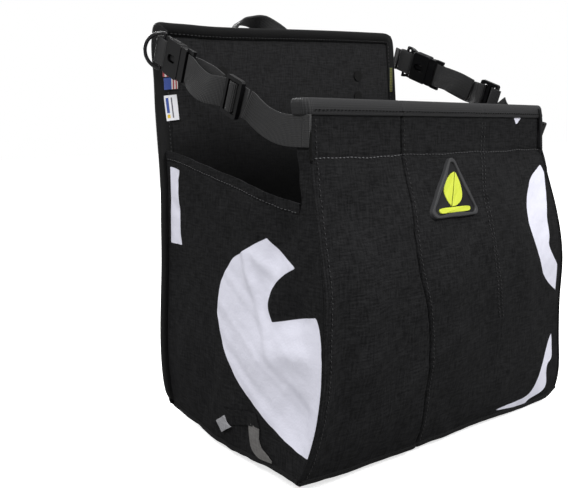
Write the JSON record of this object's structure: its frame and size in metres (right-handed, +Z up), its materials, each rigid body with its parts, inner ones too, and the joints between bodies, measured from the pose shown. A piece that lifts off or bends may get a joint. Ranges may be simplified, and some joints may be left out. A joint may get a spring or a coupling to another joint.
{
  "type": "open-top carrying bag with rail hooks",
  "caption": "Soft open-top fruit picking and carrying bag with a tall stiffened back, side straps with buckles, a handle and two hooks for a round rail.",
  "frame": {"origin": "centre of the underside of the floor, midway between the front edge and the back face", "axes": "+X to the right for someone facing the front, +Y from the front towards the stiffened back, +Z up"},
  "size_m": [0.3648, 0.2649, 0.4],
  "materials": {
    "coated_fabric": "satin",
    "lining_fabric": "matte",
    "stiffener_board": "matte",
    "edge_tape": "matte",
    "webbing": "matte",
    "buckle_plastic": "gloss",
    "hook_plastic": "satin",
    "rivet_steel": "satin",
    "wire_steel": "satin",
    "elastic": "matte",
    "badge_rubber": "matte",
    "badge_accent": "satin",
    "label_woven": "matte",
    "label_blue_cloth": "matte",
    "label_dark": "matte",
    "reflective": "satin"
  },
  "bodies": {
    "bag_back": {"back_panel": "coated_fabric", "back_stiffener": "stiffener_board", "back_lining": "lining_fabric", "back_binding": "edge_tape", "gusset_left": "coated_fabric", "gusset_right": "coated_fabric", "bottom_panel": "coated_fabric", "bottom_lining": "lining_fabric", "anchor_tab_left": "webbing", "anchor_tab_right": "webbing", "rack_hook_left": "hook_plastic", "rack_hook_right": "hook_plastic", "hook_rivets_left": "rivet_steel", "hook_rivets_right": "rivet_steel", "handle_patch_left": "webbing", "handle_patch_right": "webbing", "cord_anchor_left": "webbing", "cord_anchor_right": "webbing", "elastic_cord": "elastic", "label_striped": "label_woven", "label_blue": "label_blue_cloth", "label_blocks": "label_woven", "label_edge": "label_dark", "reflective_tab_left": "reflective", "reflective_tab_right": "reflective", "reflective_strip_left": "reflective", "reflective_strip_right": "reflective"},
    "bag_front": {"front_panel": "coated_fabric", "hem_stay": "stiffener_board", "front_hem": "lining_fabric", "front_corner_left": "edge_tape", "front_corner_right": "edge_tape", "badge": "badge_rubber", "badge_emblem": "badge_accent", "strap_tab_left": "webbing", "strap_tab_right": "webbing"},
    "rear_strap_left": {"anchor_loop_left": "webbing", "buckle_socket_left": "buckle_plastic", "strap_rear_left": "webbing"},
    "front_strap_left": {"strap_front_left": "webbing"},
    "ring_left": {"d_ring_left": "buckle_plastic"},
    "plug_left": {"buckle_plug_left": "buckle_plastic"},
    "glide_left": {"tri_glide_left": "buckle_plastic"},
    "rear_strap_right": {"anchor_loop_right": "webbing", "buckle_socket_right": "buckle_plastic", "strap_rear_right": "webbing"},
    "front_strap_right": {"strap_front_right": "webbing"},
    "ring_right": {"d_ring_right": "buckle_plastic"},
    "plug_right": {"buckle_plug_right": "buckle_plastic"},
    "glide_right": {"tri_glide_right": "buckle_plastic"},
    "handle": {"carry_handle": "webbing"},
    "keeper_hook": {"elastic_hook": "wire_steel"}
  },
  "joints": [
    {"name": "collapse", "type": "slide", "parent": "bag_back", "child": "bag_front", "axis": [0, 1, 0], "range_m": [0, 0.19], "deforming": ["gusset_left", "gusset_right", "bottom_panel", "bottom_lining", "reflective_tab_left", "reflective_tab_right", "reflective_strip_left", "reflective_strip_right"]},
    {"name": "rear_strap_swing_left", "type": "hinge", "parent": "bag_back", "child": "rear_strap_left", "pos_m": [-0.16747, 0.108, 0.358], "axis": [0.9989, 0, -0.0467], "range_deg": [0, 66.29], "deforming": ["strap_rear_left", "anchor_loop_left"]},
    {"name": "front_strap_swing_left", "type": "hinge", "parent": "bag_front", "child": "front_strap_left", "pos_m": [-0.17149, -0.108, 0.272], "axis": [0.9989, 0, -0.0467], "range_deg": [-96.37, 0], "deforming": ["strap_front_left"]},
    {"name": "d_ring_turn_left", "type": "hinge", "parent": "rear_strap_left", "child": "ring_left", "pos_m": [-0.16766, 0.09778, 0.35393], "axis": [0.0434, -0.3703, 0.9279], "range_deg": [-20, 95]},
    {"name": "buckle_release_left", "type": "slide", "parent": "rear_strap_left", "child": "plug_left", "axis": [-0.0173, -0.9289, -0.3699], "range_m": [0, 0.026], "deforming": ["buckle_plug_left", "strap_rear_left"]},
    {"name": "glide_adjust_left", "type": "slide", "parent": "rear_strap_left", "child": "glide_left", "axis": [-0.0173, -0.9289, -0.3699], "range_m": [-0.04, 0.005], "deforming": ["strap_rear_left", "strap_front_left"]},
    {"name": "rear_strap_swing_right", "type": "hinge", "parent": "bag_back", "child": "rear_strap_right", "pos_m": [0.16747, 0.108, 0.358], "axis": [0.9989, 0, 0.0467], "range_deg": [0, 66.29], "deforming": ["strap_rear_right", "anchor_loop_right"]},
    {"name": "front_strap_swing_right", "type": "hinge", "parent": "bag_front", "child": "front_strap_right", "pos_m": [0.17149, -0.108, 0.272], "axis": [0.9989, 0, 0.0467], "range_deg": [-96.37, 0], "deforming": ["strap_front_right"]},
    {"name": "d_ring_turn_right", "type": "hinge", "parent": "rear_strap_right", "child": "ring_right", "pos_m": [0.16766, 0.09778, 0.35393], "axis": [-0.0434, -0.3703, 0.9279], "range_deg": [-15, 100]},
    {"name": "buckle_release_right", "type": "slide", "parent": "rear_strap_right", "child": "plug_right", "axis": [0.0173, -0.9289, -0.3699], "range_m": [0, 0.026], "deforming": ["buckle_plug_right", "strap_rear_right"]},
    {"name": "glide_adjust_right", "type": "slide", "parent": "rear_strap_right", "child": "glide_right", "axis": [0.0173, -0.9289, -0.3699], "range_m": [-0.04, 0.005], "deforming": ["strap_rear_right", "strap_front_right"]},
    {"name": "handle_swing", "type": "hinge", "parent": "bag_back", "child": "handle", "pos_m": [-0.033, 0.117, 0.371], "axis": [1, 0, 0], "range_deg": [-155, 0]},
    {"name": "elastic_stretch", "type": "slide", "parent": "bag_back", "child": "keeper_hook", "axis": [0, 0, -1], "range_m": [0, 0.05], "deforming": ["elastic_cord"]}
  ],
  "couplings": [
    {"joint": "rear_strap_swing_left", "follows": "collapse", "rad_per_m": 6.0712},
    {"joint": "front_strap_swing_left", "follows": "collapse", "rad_per_m": -8.8337},
    {"joint": "rear_strap_swing_right", "follows": "collapse", "rad_per_m": 6.0712},
    {"joint": "front_strap_swing_right", "follows": "collapse", "rad_per_m": -8.8337}
  ]
}
